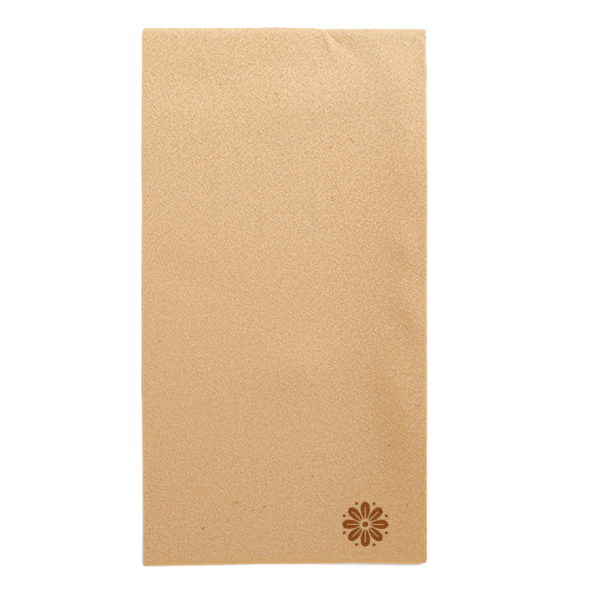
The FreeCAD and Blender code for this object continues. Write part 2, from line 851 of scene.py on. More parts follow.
@dataclass
class NapkinSheet:
    """The one folded sheet, as a closed mesh.

    Attributes:
        strip: The fold's sizes.
        shape: What handling did to it.
        fine: Mesh spacing on the panel that shows.
        coarse: Mesh spacing on the hidden layers.
        lower: Mesh spacing along the lower half.
        turn_count: Steps in the crosswise fold.
        crease_across: Where the crease near the open end lies across the napkin.
        crease_along: Where it lies along the napkin.
    """

    strip: FoldedStrip
    shape: HandledShape
    fine: Spacing = Spacing(1.15, 0.483, 3.0)
    coarse: Spacing = Spacing(9.0, 2.0, 4.0)
    lower: Spacing = Spacing(6.0, 1.0, 4.0)
    turn_count: int = 20
    crease_across: Pair = (12.0, 27.0)
    crease_along: Pair = (86.0, 99.0)

    def _rows_along(self) -> tuple[np.ndarray, np.ndarray]:
        """Stations along the sheet's length.

        Returns:
            How far each is along the sheet from the lower open end, and 0, 1 or 2 where it is
            in the lower half, the crosswise fold or the upper half.
        """
        strip = self.strip
        lower = self.lower.between(0, strip.lower_run)
        turn = strip.lower_run + np.linspace(0, strip.turn_run, self.turn_count + 1)[1:]
        start = strip.lower_run + strip.turn_run
        upper = self.fine.between(start, start + strip.upper_run)[1:]
        upper = halved(upper, *(start - strip.turn_y + place for place in self.crease_along))
        zone = np.repeat((0, 1, 2), (len(lower), len(turn), len(upper)))
        return np.concatenate((lower, turn, upper)), zone

    def _placed(
        self, x: np.ndarray, z: np.ndarray, along: np.ndarray, zone: np.ndarray
    ) -> np.ndarray:
        """Lays a grid of section points over the crosswise fold.

        Args:
            x: The section points' places across.
            z: Their heights in the lower half.
            along: Stations along the sheet.
            zone: The part that each station is in.

        Returns:
            Rows of x, y and z, section point by section point.
        """
        strip = self.strip
        radius, turn_y = strip.turn_radius, strip.turn_y
        arm = radius - z[:, None]
        angle = np.clip((along - strip.lower_run) / strip.turn_run, 0, 1) * math.pi
        pressed = np.where(angle < math.pi / 2, self.shape.pressed(x)[:, None], 0.0)
        bulge = np.sin(angle) ** (1 - pressed)
        lower_y = turn_y + strip.lower_run - along
        upper_y = turn_y + along - strip.lower_run - strip.turn_run
        y = np.where(zone == 0, lower_y, np.where(zone == 2, upper_y, turn_y - arm * bulge))
        height = radius - arm * np.cos(angle)
        rows = np.broadcast_arrays(x[:, None], y, height)
        return np.stack([row.ravel() for row in rows], 1)

    def build(self) -> bpy.types.Object:
        """Builds the sheet's mesh with its two UV maps.

        Returns:
            The new object, in metres.
        """
        strip = self.strip
        line = SectionLine(strip, self.fine, self.coarse, self.crease_across)
        along, zone = self._rows_along()
        across_count, along_count = len(line.x), len(along)
        faces = []
        for side in (Face.INSIDE, Face.OUTSIDE):
            out = side * strip.thickness / 2
            x, z = line.x + out * line.normal_x, line.z + out * line.normal_z
            faces.append(self._placed(x, z, along, zone))
        points = self.shape.shaped(np.concatenate(faces), strip) * MM

        index = np.arange(2 * across_count * along_count).reshape(2, across_count, along_count)
        quads, kinds = self._quads(index)
        mesh = bpy.data.meshes.new("napkin_sheet")
        mesh.from_pydata(points.tolist(), [], quads.tolist())
        self._map_sheet(mesh, quads, line, along)
        self._map_bake(mesh, quads, kinds, line, along)
        mesh.polygons.foreach_set("use_smooth", np.ones(len(quads), dtype=bool))
        self._sharpen_cuts(mesh, index)
        mesh.update()
        sheet = bpy.data.objects.new("napkin_sheet", mesh)
        bpy.context.scene.collection.objects.link(sheet)
        return sheet

    @staticmethod
    def _quads(index: np.ndarray) -> tuple[np.ndarray, np.ndarray]:
        """All quads of the closed sheet.

        Args:
            index: Point numbers by face, station across and station along.

        Returns:
            The quads, and for each 0 on the inside, 1 on the outside, and 2 to 5 on the four rims.
        """
        inside, outside = index

        def patch(grid: np.ndarray, flip: bool) -> np.ndarray:
            """Quads of one grid of point numbers."""
            corners = [grid[:-1, :-1], grid[1:, :-1], grid[1:, 1:], grid[:-1, 1:]]
            if flip:
                corners.reverse()
            return np.stack([corner.ravel() for corner in corners], 1)

        parts = [
            patch(inside, True),
            patch(outside, False),
            patch(np.stack((inside[0], outside[0])), False),
            patch(np.stack((inside[-1], outside[-1])), True),
            patch(np.stack((inside[:, 0], outside[:, 0])), True),
            patch(np.stack((inside[:, -1], outside[:, -1])), False),
        ]
        kinds = np.repeat(np.arange(len(parts)), [len(part) for part in parts])
        return np.concatenate(parts), kinds

    @staticmethod
    def _sharpen_cuts(mesh: bpy.types.Mesh, index: np.ndarray) -> None:
        """Marks the rims of the cut sides and open ends as sharp edges.

        Args:
            mesh: The sheet's mesh.
            index: Point numbers by face, station across and station along.
        """
        rim = np.zeros(index.size, dtype=bool)
        rim[index[:, [0, -1], :].ravel()] = True
        rim[index[:, :, [0, -1]].ravel()] = True
        ends = np.empty(2 * len(mesh.edges), dtype=np.int32)
        mesh.edges.foreach_get("vertices", ends)
        ends = ends.reshape(-1, 2)
        same_face = (ends[:, 0] < index.size // 2) == (ends[:, 1] < index.size // 2)
        mesh.edges.foreach_set("use_edge_sharp", rim[ends].all(axis=1) & same_face)

    def _map_sheet(
        self, mesh: bpy.types.Mesh, quads: np.ndarray, line: SectionLine, along: np.ndarray
    ) -> None:
        """Gives each point its place on the opened sheet, in millimetres.

        On the upper outer panel these are the part's own x and y.

        Args:
            mesh: The sheet's mesh.
            quads: Its quads.
            line: The strip's section.
            along: Stations along the sheet.
        """
        start = self.strip.lower_run + self.strip.turn_run
        u, v = np.meshgrid(line.sheet_u, along - start + self.strip.turn_y, indexing="ij")
        places = np.tile(np.stack((u.ravel(), v.ravel()), 1), (2, 1))
        layer = mesh.uv_layers.new(name=SHEET_UV)
        layer.data.foreach_set("uv", places[quads.ravel()].astype(np.float32).ravel())

    def _map_bake(
        self,
        mesh: bpy.types.Mesh,
        quads: np.ndarray,
        kinds: np.ndarray,
        line: SectionLine,
        along: np.ndarray,
    ) -> None:
        """Gives each point its place on a baked picture, most of it for the two outer panels.

        Args:
            mesh: The sheet's mesh.
            quads: Its quads.
            kinds: What each quad is part of.
            line: The strip's section.
            along: Stations along the sheet.
        """
        strip = self.strip
        across_count, along_count = len(line.x), len(along)
        station = quads % (across_count * along_count)
        across_at, along_at = station // along_count, station % along_count
        walk, way = line.sheet_u[across_at], along[along_at]
        shown = np.flatnonzero(line.on_outside)
        left, right = line.sheet_u[shown[0]], line.sheet_u[shown[-1]]
        lower, total = strip.lower_run, along[-1]
        margin, panel_width, lower_column = 0.012, 0.438, 0.47
        hidden_column, hidden_row, hidden_width, hidden_height = 0.958, 0.01, 0.034, 0.46
        rim_base, rim_step, rim_length = 0.9, 0.022, 0.9
        per_mm = panel_width / (right - left)

        outside = kinds == 1
        on_panel = outside & (across_at >= shown[0]).all(1) & (across_at <= shown[-1]).all(1)
        upper = on_panel & (way >= lower - TINY).all(1)
        lower_panel = on_panel & ~upper
        bake = np.empty((*quads.shape, 2))
        sheet_share = (walk - line.sheet_u[0]) / (line.sheet_u[-1] - line.sheet_u[0])
        bake[..., 0] = hidden_column + hidden_width * sheet_share
        bake[..., 1] = hidden_row + hidden_height * way / total + outside[:, None] / 2
        for chosen, column, base in ((upper, margin, lower), (lower_panel, lower_column, 0.0)):
            bake[chosen, :, 0] = column + (walk[chosen] - left) * per_mm
            bake[chosen, :, 1] = margin + (way[chosen] - base) * per_mm
        for rim in range(4):
            chosen = kinds == rim + 2
            run = along_at[chosen] / along_count if rim < 2 else across_at[chosen] / across_count
            rim_row = (quads[chosen] >= across_count * along_count) * margin
            bake[chosen, :, 0] = margin + rim_length * run
            bake[chosen, :, 1] = rim_base + rim_step * rim + rim_row
        layer = mesh.uv_layers.new(name=BAKE_UV)
        layer.data.foreach_set("uv", bake.astype(np.float32).ravel())


# ---- finishes ----


@dataclass(frozen=True)
class Mark:
    """A long oval mark in the paper: a brown or rusty fibre, a sharp crease, or a place painted
    paler or deeper as painted light and shade.

    Attributes:
        x: Its middle across the napkin.
        y: Its middle along the napkin.
        half_length: Half its length.
        half_width: Half its width.
        angle: Its direction in degrees from +X.
        strength: Share of a fibre's colour over the paper, a crease's height against the grain's
            (less than 0 for a furrow), or how much paler a place of painted light is (less than 0
            for painted shade).
        rusty: If it is rusty and not brown.
    """

    x: float
    y: float
    half_length: float
    half_width: float
    angle: float
    strength: float
    rusty: bool = False


@dataclass(frozen=True)
class RosettePrint:
    """A traditional eight-petalled rosette in one ink, with a ring of dots between the petals.

    Attributes:
        x: Its middle across the napkin.
        y: Its middle along the napkin.
        petals: Number of petals.
        petal_middle: Distance from the rosette's middle to a petal's.
        petal_half_length: Half a petal's length.
        petal_half_width: Half a petal's width.
        vein_half_width: Half the width of the bare line down each petal.
        heart_radius: Radius of the heart.
        dot_distance: Distance from the rosette's middle to a dot's.
        dot_radius: Radius of a dot.
        petal_taper: How much wider a petal is at its outer end than in its middle.
        petal_edge: Half the softness of a petal's edge, as a share of its size.
        edge: Half the softness of the other edges.
        vein_end: How far out from a petal's middle its bare line ends, and begins to fade.
    """

    x: float = 30.6
    y: float = -86.0
    petals: int = 8
    petal_middle: float = 5.3
    petal_half_length: float = 3.4
    petal_half_width: float = 1.75
    vein_half_width: float = 0.16
    heart_radius: float = 1.15
    dot_distance: float = 8.6
    dot_radius: float = 0.62
    petal_taper: float = 0.28
    petal_edge: float = 0.06
    edge: float = 0.1
    vein_end: Pair = (1.9, 1.3)

    def mask(self, bench: NodeBench, place: Socket) -> Value:
        """Where the ink is.

        Args:
            bench: The material's bench.
            place: Place on the sheet, in millimetres.

        Returns:
            1 on ink and 0 on bare paper, with edges as soft as a print on tissue.
        """
        def inside(distance: Value, rim: float, softness: float = self.edge) -> Value:
            """1 nearer than a rim and 0 beyond it."""
            return bench.ramp(distance, rim + softness, rim - softness)

        def length(first: Value, second: Value) -> Value:
            """Length of a step with these two parts."""
            return bench.maths(MathOp.SQRT, first * first + second * second)

        across = bench.along(place, ACROSS) - self.x
        up = bench.along(place, UP) - self.y
        radius = length(across, up)
        angle = bench.maths(MathOp.ARCTAN2, up, across)
        half_step = math.pi / self.petals
        folded = bench.maths(MathOp.PINGPONG, angle + 2 * math.pi, half_step)
        along = radius * bench.maths(MathOp.COSINE, folded)
        aside = radius * bench.maths(MathOp.SINE, folded)
        reach = (along - self.petal_middle) / self.petal_half_length
        narrow = aside / (self.petal_half_width * (1.0 + self.petal_taper * reach))
        petal = inside(reach * reach + narrow * narrow, 1.0, self.petal_edge)
        vein_end = (self.petal_middle + further for further in self.vein_end)
        vein = inside(abs(aside), self.vein_half_width) * bench.ramp(along, *vein_end)
        heart = inside(radius, self.heart_radius)
        turned = half_step - folded
        dot_along = radius * bench.maths(MathOp.COSINE, turned) - self.dot_distance
        dot_aside = radius * bench.maths(MathOp.SINE, turned)
        dot = inside(length(dot_along, dot_aside), self.dot_radius)
        petal = petal * (1 - vein)
        return bench.maths(MathOp.MAXIMUM, petal, bench.maths(MathOp.MAXIMUM, heart, dot))


@dataclass(frozen=True)
class Mottle:
    """Soft random variation over the sheet.

    Attributes:
        per_mm: Features per millimetre.
        shift: Level of the noise, so that two kinds differ.
        detail: Octaves of finer noise on top.
        weight: How much it counts.
    """

    per_mm: float
    shift: float
    detail: float = 1.0
    weight: float = 1.0

    def value(self, bench: NodeBench, place: Socket) -> Value:
        """Its value at a place, around 0."""
        noise = bench.noise_value(place, self.per_mm, self.detail, self.shift)
        return (noise - 0.5) * self.weight


@dataclass(frozen=True)
class Blotches:
    """Random patches over the sheet.

    Attributes:
        per_mm: Patches per millimetre.
        shift: Level of the noise, so that two kinds differ.
        begin: Noise at which a patch begins.
        full: Noise at which it is full.
        strength: How much a full patch counts.
        detail: Octaves of finer noise on top.
    """

    per_mm: float
    shift: float
    begin: float
    full: float
    strength: float = 1.0
    detail: float = 2.0

    def value(self, bench: NodeBench, place: Socket) -> Value:
        """How much the patches count at a place, from 0 to their strength."""
        noise = bench.noise_value(place, self.per_mm, self.detail, self.shift)
        return bench.ramp(noise, self.begin, self.full) * self.strength


@dataclass(frozen=True)
class Strokes:
    """Fibres drawn out along one direction of the sheet.

    Attributes:
        direction: Unit direction in which they run.
        shift: Level of the noise, so that two sets differ.
        weight: How much they count.
        per_mm: Strokes per millimetre along them and across them.
    """

    direction: Pair
    shift: float
    weight: float = 1.0
    per_mm: Pair = (0.6, 1.6)

    def value(self, bench: NodeBench, place: Socket) -> Value:
        """Their value at a place, around 0."""
        drawn = bench.streaks(place, self.direction, *self.per_mm, self.shift)
        return (drawn - 0.5) * self.weight


@dataclass(frozen=True)
class Zone:
    """A part of the panel that fades in across the napkin and along it.

    Attributes:
        across: Where it is absent and where it is full, across the napkin.
        along: The same along the napkin.
        strength: How much it counts where it is full.
        beyond: The same as along, for a zone that fades at both ends.
    """

    across: Pair
    along: Pair
    strength: float
    beyond: Pair | None = None

    def value(self, bench: NodeBench, place: Socket) -> Value:
        """Adds the zone's nodes.

        Args:
            bench: The material's bench.
            place: Place on the sheet, in millimetres.

        Returns:
            How much the zone counts there.
        """
        up = bench.along(place, UP)
        share = bench.ramp(bench.along(place, ACROSS), *self.across) * bench.ramp(up, *self.along)
        if self.beyond:
            share = share * bench.ramp(up, *self.beyond)
        return share * self.strength


@dataclass(frozen=True)
class FoldLightPaint:
    """Painted light along a fold: a paler, warmer band where the fold turns to the side light and
    the floor.

    Attributes:
        colour: The colour.
        band: Where it begins and is full, as steps out over the napkin's edge.
        wrap: Where it is gone and is full on the way round the fold, likewise.
        share: How much of it shows.
    """

    colour: Colour
    band: Pair
    wrap: Pair
    share: float

    def over(self, bench: NodeBench, out: Value, paper: Socket, slant: Term = 0.0) -> Socket:
        """Lays the colour over the paper's.

        Args:
            bench: The material's bench.
            out: How far a place is out over the napkin's edge.
            paper: The paper's colour.
            slant: How much more of it shows there.

        Returns:
            The colour of both.
        """
        fold = bench.ramp(out, *self.band) * bench.ramp(out, *self.wrap)
        return bench.blend(fold * (self.share + slant), paper, self.colour)


@dataclass(frozen=True)
class PaperRelief:
    """The paper's embossing, and the grain of its fibres and pebbles.

    Attributes:
        waves: The embossing's rows, as rows per millimetre across and along.
        drift: Slow wander of the rows: features per millimetre, level of noise and reach.
        jitter: Quick wander of the rows, likewise.
        row_patches: Patches in which the first set of rows is strong.
        row_shift: How far the patches of each set differ from the one before, in level of noise.
        row_base: Strength of the rows between patches.
        emboss_level: Strength of the embossing in the middle of the panel.
        emboss_slope: How much that grows per millimetre across and along.
        strokes: Sets of drawn fibres.
        fine: The finest grain.
        pebble: The round pebbles near the crosswise fold.
        pebbled: Where along the napkin the pebbles begin and are full.
        pebble_level: Strength of the pebbles in the middle.
        pebble_slope: How much that grows per millimetre across and along.
        pebble_loss: What the embossing loses to the pebbles.
        sharpening: Strength of the grain, and how much more for its highest and lowest parts.
        grain_level: Strength of the grain in the middle of the panel.
        grain_slope: How much that grows per millimetre across and along.
        creases: Sharp furrows in the paper.
    """

    waves: tuple[Pair, ...] = (
        (0.454, 0.784), (0.824, 0.372), (0.60, 0.87), (0.99, 0.42), (0.370, -0.412)
    )
    drift: Triple = (0.13, 3.0, 2.2)
    jitter: Triple = (0.8, 9.0, 1.1)
    row_patches: Blotches = Blotches(0.42, 20.0, 0.34, 0.66, detail=1.0)
    row_shift: float = 7.0
    row_base: float = 0.1
    emboss_level: float = 0.87
    emboss_slope: Pair = (0.0015, 0.0012)
    strokes: tuple[Strokes, ...] = (
        Strokes((0.41, -0.91), 4.0, 1.5), Strokes((0.86, -0.5), 11.0, 1.3)
    )
    fine: Mottle = Mottle(2.0, 5.0, 0.0, 2.2)
    pebble: Mottle = Mottle(1.35, 13.0)
    pebbled: Pair = (20.0, -75.0)
    pebble_level: float = 3.6
    pebble_slope: Pair = (-0.03, 0.0)
    pebble_loss: float = 0.1
    sharpening: Pair = (0.85, 0.32)
    grain_level: float = 1.03
    grain_slope: Pair = (0.0009, -0.002)
    creases: tuple[Mark, ...] = (
        Mark(15.8, 95.5, 3.6, 0.45, 115, -0.8),
        Mark(19.6, 97.2, 5.2, 0.45, 137, -1.2),
        Mark(52.4, -100.5, 1.3, 0.35, 46, -2.0),
    )

    def heights(self, bench: NodeBench, place: Socket) -> tuple[Value, Value]:
        """Adds the nodes of the relief.

        Args:
            bench: The material's bench.
            place: Place on the sheet, in millimetres.

        Returns:
            The embossing and the grain, each around 0.
        """
        moved = bench.vector("ADD", place, bench.stray(place, *self.drift))
        moved = bench.vector("ADD", moved, bench.stray(place, *self.jitter))
        pebbled = bench.ramp(bench.along(place, UP), *self.pebbled)
        return self._emboss(bench, place, moved, pebbled), self._grain(bench, place, moved, pebbled)

    def _emboss(self, bench: NodeBench, place: Socket, moved: Socket, pebbled: Value) -> Value:
        """The embossing.

        Args:
            bench: The material's bench.
            place: Place on the sheet, in millimetres.
            moved: The same with the wander of the rows.
            pebbled: Share of pebbles there.

        Returns:
            Its height, around 0.
        """
        emboss: Term = 0.0
        for number, wave in enumerate(self.waves):
            shift = self.row_patches.shift + self.row_shift * number
            strength = replace(self.row_patches, shift=shift).value(bench, place) + self.row_base
            turns = bench.along(moved, (2 * math.pi * wave[0], 2 * math.pi * wave[1]))
            emboss = emboss + bench.maths(MathOp.COSINE, turns) * strength
        level = self.emboss_level + bench.along(place, self.emboss_slope)
        return emboss * (level - pebbled * self.pebble_loss)

    def _grain(self, bench: NodeBench, place: Socket, moved: Socket, pebbled: Value) -> Value:
        """The grain with the creases.

        Args:
            bench: The material's bench.
            place: Place on the sheet, in millimetres.
            moved: The same with the wander of the rows.
            pebbled: Share of pebbles there.

        Returns:
            Its height, around 0.
        """
        level = self.pebble_level + bench.along(place, self.pebble_slope)
        grain = self.fine.value(bench, place) + self.pebble.value(bench, place) * pebbled * level
        for strokes in self.strokes:
            grain = grain + strokes.value(bench, moved)
        grain = grain * (self.sharpening[0] + grain * grain * self.sharpening[1])
        grain = grain * (self.grain_level + bench.along(place, self.grain_slope))
        for crease in self.creases:
            grain = grain + bench.oval(place, crease) * crease.strength
        return grain


@dataclass(frozen=True)
class KraftPaper:
    """Soft brown paper with a fine diamond embossing, short fibres and a few flecks.

    Attributes:
        pale: Colour of its palest fibres, and of painted light.
        deep: Colour of its hollows, and of painted shade.
        warm: Colour of its warmest specks, and of the painted shade towards the lower left.
        grey: Colour of its dullest specks.
        fleck: Colour of brown flecks.
        rust: Colour of rusty flecks.
        ink: Colour of the print.
        thin_ink: Colour of the print where little ink took.
        roughness: Roughness of the paper and of the print.
        specular: Strength of the paper's sheen.
        ink_specular: Strength of the print's sheen.
        relief: The embossing and the grain.
        emboss_height: Height of the embossing.
        grain_height: Height of the grain.
        ink_flattening: Share of that height that is lost under the print.
        emboss_tone_and_shade: How much paler the embossing's tops are and deeper its hollows,
            partly the fibres' own colour and partly painted shade in the hollows.
        grain_tone_and_shade: The same for the grain.
        speckle: Fine variation of the tone.
        broad: Broad variation of the tone.
        broad_loss: What the broad one loses towards the open end.
        painted_sheen_strength: Strength of the fine tones at the crosswise fold, what they gain
            towards the open end, and what they gain from the middle to the single fold; the gains
            are painted sheen on the lamps' side.
        painted_light_zones: Broad places painted paler or deeper: painted light towards the upper
            right, painted shade lower on the right and towards the crosswise fold.
        painted_shade_and_light: A place painted deeper where a dip turns from the light, and one
            painted paler where a rise faces it: painted shade and painted light.
        painted_end_highlight_reach: How far from the open end a painted highlight reaches, where
            the edge bends towards the lamps.
        painted_end_highlight: How much paler the paper is painted there.
        tone_span: The tone at which the paper is palest; it is deepest at the same below 0.
        warm_specks: Where the warm colour shows.
        painted_warm_shade: Where the whole paper is painted warmer, away from the lamps towards the
            lower left: painted shade.
        dull_specks: Where the dull colour shows.
        strands: Sets of pale fibres.
        strand_range: Value at which a pale fibre begins and is full.
        strand_share: How much of the pale colour shows there.
        side_fold_light: Painted light along the folds at both sides.
        side_light_slant: What the double fold has more of it, and the single fold less.
        end_fold_light: Painted light along the crosswise fold.
        thin_print: Where the ink is thin.
        print_cover: What the ink covers more where it took well.
        print_least: Share of the paper that ink covers where it took badly.
        print_stray: Raggedness of the print's edge: features per millimetre, level and reach.
        flecks: Its brown and rusty fibres.
    """

    pale: Colour = linear(225, 193, 155)
    deep: Colour = linear(211, 159, 97)
    warm: Colour = linear(232, 176, 106)
    grey: Colour = linear(198, 164, 126)
    fleck: Colour = linear(172, 96, 14)
    rust: Colour = linear(198, 120, 38)
    ink: Colour = linear(136, 68, 4)
    thin_ink: Colour = linear(162, 94, 26)
    roughness: float = 0.55
    specular: float = 0.6
    ink_specular: float = 0.1
    relief: PaperRelief = PaperRelief()
    emboss_height: float = 0.024
    grain_height: float = 0.045
    ink_flattening: float = 0.3
    emboss_tone_and_shade: float = 0.04
    grain_tone_and_shade: float = 0.14
    speckle: Mottle = Mottle(1.25, 31.0, 1.0, 0.5)
    broad: Mottle = Mottle(0.6, 37.0, 1.0, 0.11)
    broad_loss: float = 0.10 / 0.11
    painted_sheen_strength: Triple = (0.52, 0.56, 0.1)
    # Painted light and shade: paler at the upper right and a little in the left half's middle,
    # deeper on the right below the middle and towards the crosswise fold.
    painted_light_zones: tuple[Zone, ...] = (
        Zone((5.0, 48.0), (70.0, 20.0), -0.038),
        Zone((0.0, 40.0), (40.0, 95.0), 0.045),
        Zone((-10.0, 35.0), (-50.0, -90.0), -0.022),
        Zone((45.0, 5.0), (-90.0, -25.0), 0.008, beyond=(75.0, 10.0)),
    )
    # Painted shade on the dip in the lower half near the single fold, painted light on the rise
    # near the open end.
    painted_shade_and_light: tuple[Mark, ...] = (
        Mark(39.6, -46.0, 25.0, 6.5, 104, -0.022),
        Mark(9.0, 79.0, 26.0, 12.0, 95, 0.02),
    )
    painted_end_highlight_reach: float = 3.5
    painted_end_highlight: float = 0.07
    tone_span: float = 0.13
    warm_specks: Blotches = Blotches(1.1, 41.0, 0.56, 0.7, 0.4)
    painted_warm_shade: Zone = Zone((48.0, -30.0), (50.0, -30.0), 0.17)
    dull_specks: Blotches = Blotches(1.3, 47.0, 0.56, 0.7, 0.3)
    strands: tuple[Strokes, ...] = (
        Strokes((0.41, -0.91), 53.0, per_mm=(0.5, 2.6)),
        Strokes((0.86, -0.5), 59.0, per_mm=(0.5, 2.6)),
        Strokes((0.1, 1.0), 61.0, per_mm=(0.5, 2.6)),
    )
    strand_range: Pair = (0.1, 0.22)
    strand_share: float = 0.4
    side_fold_light: FoldLightPaint = FoldLightPaint(linear(250, 218, 172), (-1.6, -0.4), (8.0, 2.0), 0.35)
    side_light_slant: float = 0.17
    end_fold_light: FoldLightPaint = FoldLightPaint(linear(255, 213, 138), (-3.6, -0.6), (6.0, 1.5), 0.5)
    thin_print: Blotches = Blotches(1.7, 83.0, 0.42, 0.66, 0.6)
    print_cover: Blotches = Blotches(1.4, 77.0, 0.25, 0.5, 0.16)
    print_least: float = 0.84
    print_stray: Triple = (1.6, 71.0, 0.22)
    flecks: tuple[Mark, ...] = (
        Mark(-13.1, 87.8, 0.5, 0.3, 20, 0.9),
        Mark(-24.1, 80.3, 0.5, 0.34, 60, 0.95),
        Mark(-3.0, 76.5, 0.5, 0.3, -30, 0.9),
        Mark(28.1, 68.5, 0.45, 0.3, 10, 0.8),
        Mark(25.4, 59.2, 1.05, 0.36, -55, 0.85, True),
        Mark(17.5, 56.4, 0.65, 0.36, 0, 1.0, True),
        Mark(-41.6, 94.7, 0.45, 0.36, 0, 0.45, True),
        Mark(-38.2, 64.7, 0.45, 0.35, 30, 0.6, True),
        Mark(-31.3, 57.9, 0.45, 0.35, 80, 0.6, True),
        Mark(-30.4, 87.9, 0.3, 0.3, 0, 0.6, True),
        Mark(-37.2, 74.2, 0.28, 0.28, 0, 0.6, True),
        Mark(-17.9, -77.6, 0.9, 0.38, 18, 0.95, True),
        Mark(-19.2, -78.0, 0.55, 0.34, -35, 0.75, True),
        Mark(-7.6, -79.3, 0.8, 0.34, 12, 0.9, True),
        Mark(-11.4, -80.6, 2.4, 0.14, 14, 0.45),
        Mark(-30.6, -87.3, 0.8, 0.42, 25, 0.95, True),
        Mark(-30.8, -87.4, 0.45, 0.3, 60, 0.5),
        Mark(-46.1, -77.2, 0.4, 0.32, 0, 0.65, True),
        Mark(-43.8, -95.4, 0.5, 0.35, 0, 0.6),
        Mark(-21.1, -84.8, 0.5, 0.32, 50, 0.75),
        Mark(-17.3, -61.0, 0.5, 0.22, 115, 0.65),
        Mark(10.7, -67.8, 0.55, 0.3, -30, 0.95),
        Mark(6.1, -64.7, 0.5, 0.3, 20, 0.8),
        Mark(39.5, -56.1, 0.55, 0.32, 65, 0.9),
        Mark(-46.9, -16.7, 0.6, 0.32, 25, 0.75),
        Mark(50.8, -41.0, 0.55, 0.3, 80, 0.8),
        Mark(46.3, -12.1, 0.4, 0.28, 20, 0.8, True),
        Mark(-3.3, -11.7, 0.45, 0.26, -40, 0.65),
        Mark(-27.6, 43.5, 0.45, 0.28, 10, 0.7, True),
        Mark(-2.2, 65.5, 0.5, 0.28, 40, 0.6),
        Mark(50.4, 80.3, 0.4, 0.28, 0, 0.6, True),
        Mark(46.4, -78.7, 0.65, 0.34, -50, 0.85),
        Mark(37.3, -66.9, 0.35, 0.25, 0, 0.6),
    )

    def material(self, strip: FoldedStrip, rosette: RosettePrint) -> bpy.types.Material:
        """Builds the paper's material.

        Args:
            strip: The fold's sizes, for the colour along the folds.
            rosette: The print on the upper panel.

        Returns:
            The material.
        """
        material = bpy.data.materials.new("kraft_paper")
        material.use_nodes = True
        bench = NodeBench(material.node_tree)
        place = bench.add("UVMap", {"uv_map": SHEET_UV}).outputs["UV"]
        ink = self._ink(bench, place, rosette)
        emboss, grain = self.relief.heights(bench, place)
        height = emboss * self.emboss_height + grain * self.grain_height
        height = height * (1 - self.ink_flattening * ink)
        bump = bench.add("Bump", None, {"Strength": 1.0, "Distance": MM, "Height": height})
        tone = self._tone(bench, place, emboss, grain, strip)

        def layer(colour: Socket, specular: float) -> Socket:
            """One layer of the surface, the paper or the print."""
            inputs = {
                "Base Color": colour,
                "Roughness": self.roughness,
                "Specular IOR Level": specular,
                "Normal": bump.outputs["Normal"],
            }
            return bench.add("BsdfPrincipled", None, inputs).outputs[0]

        paper = layer(self._paper_colour(bench, place, tone, strip), self.specular)
        printed = layer(self._ink_colour(bench, place), self.ink_specular)
        skin = bench.add("MixShader", None, {0: ink, 1: paper, 2: printed})
        bench.add("OutputMaterial", None, {"Surface": skin.outputs[0]})
        return material

    def _tone(
        self, bench: NodeBench, place: Socket, emboss: Value, grain: Value, strip: FoldedStrip
    ) -> Value:
        """How pale the bare paper is, with painted light and shade in it.

        Args:
            bench: The material's bench.
            place: Place on the sheet, in millimetres.
            emboss: The embossing, whose hollows are deeper in colour, partly as painted shade.
            grain: The grain, likewise.
            strip: The fold's sizes.

        Returns:
            0 for the deepest colour to 1 for the palest.
        """
        half_width, half_length = strip.width / 2, strip.length / 2
        up = bench.along(place, UP)
        reach = bench.ramp(up, -half_length, half_length)
        # Painted light and shade: a painted highlight at the open end, then the painted zones and
        # marks.
        painted_tone = bench.ramp(up, half_length - self.painted_end_highlight_reach, half_length) * self.painted_end_highlight
        for zone in self.painted_light_zones:
            painted_tone = painted_tone + zone.value(bench, place)
        for mark in self.painted_shade_and_light:
            painted_tone = painted_tone + bench.oval(place, mark) * mark.strength
        # The fine tones grow towards the open end and the single fold: painted sheen on the lamps'
        # side.
        base, gain, side_gain = self.painted_sheen_strength
        aside = bench.along(place, ACROSS) / half_width
        painted_sheen_strength = base + gain * reach + side_gain * aside
        fine = self.speckle.value(bench, place)
        # Paler tops and deeper hollows: partly the fibres' colour, partly painted shade in the
        # hollows.
        fine = fine + emboss * self.emboss_tone_and_shade + grain * self.grain_tone_and_shade
        broad = self.broad.value(bench, place) * (1 - self.broad_loss * reach)
        return bench.ramp(fine * painted_sheen_strength + broad + painted_tone, -self.tone_span, self.tone_span)

    def _paper_colour(
        self, bench: NodeBench, place: Socket, tone: Value, strip: FoldedStrip
    ) -> Socket:
        """Colour of the bare paper, with painted light and shade in it.

        Args:
            bench: The material's bench.
            place: Place on the sheet, in millimetres.
            tone: How pale the paper is there.
            strip: The fold's sizes.

        Returns:
            The colour.
        """
        colour = bench.blend(tone, self.deep, self.pale)
        # Warm specks, with painted shade over the lower left.
        warm = self.warm_specks.value(bench, place) + self.painted_warm_shade.value(bench, place)
        colour = bench.blend(warm, colour, self.warm)
        colour = bench.blend(self.dull_specks.value(bench, place), colour, self.grey)
        for strands in self.strands:
            share = bench.ramp(strands.value(bench, place), *self.strand_range) * self.strand_share
            colour = bench.blend(share, colour, self.pale)
        for fleck in self.flecks:
            tint = self.rust if fleck.rusty else self.fleck
            colour = bench.blend(bench.oval(place, fleck) * fleck.strength, colour, tint)
        across, up = bench.along(place, ACROSS), bench.along(place, UP)
        half_width, half_length = strip.width / 2, strip.length / 2
        # Painted light along the side folds and the crosswise fold.
        slant = across / half_width * -self.side_light_slant
        colour = self.side_fold_light.over(bench, abs(across) - half_width, colour, slant)
        return self.end_fold_light.over(bench, -half_length - up, colour)

    def _ink_colour(self, bench: NodeBench, place: Socket) -> Socket:
        """Colour of the ink, a little paler where it is thin."""
        return bench.blend(self.thin_print.value(bench, place), self.ink, self.thin_ink)

